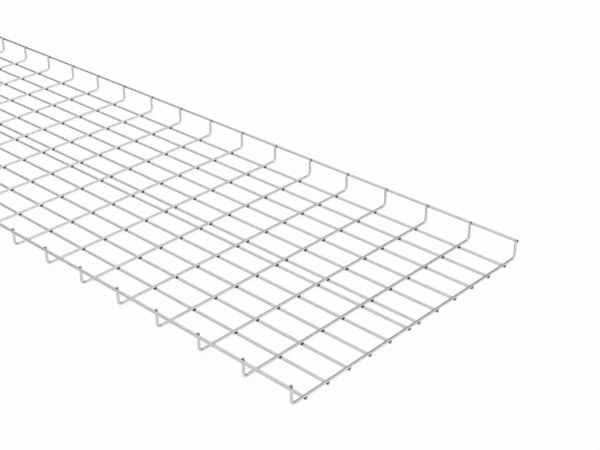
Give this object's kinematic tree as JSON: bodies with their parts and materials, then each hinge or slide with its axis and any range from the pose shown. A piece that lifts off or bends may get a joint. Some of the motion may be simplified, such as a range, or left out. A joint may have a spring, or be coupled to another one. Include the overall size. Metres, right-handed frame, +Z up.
{
  "type": "wire mesh cable basket",
  "caption": "Shallow welded steel wire basket tray with bent-up sides and rim wires, one stock length, for carrying cables.",
  "frame": {"origin": "middle of the tray's underside, on the plane that the floor wires rest on", "axes": "+X along the tray, +Y across it, +Z up, out of the open top"},
  "size_m": [3.005, 0.6, 0.042],
  "materials": {
    "zinc_wire": "bright zinc-plated drawn steel wire, satin, light grey"
  },
  "bodies": {
    "root": {"mesh_section_1": "zinc_wire", "mesh_section_2": "zinc_wire", "mesh_section_3": "zinc_wire", "mesh_section_4": "zinc_wire", "mesh_section_5": "zinc_wire"}
  },
  "joints": []
}
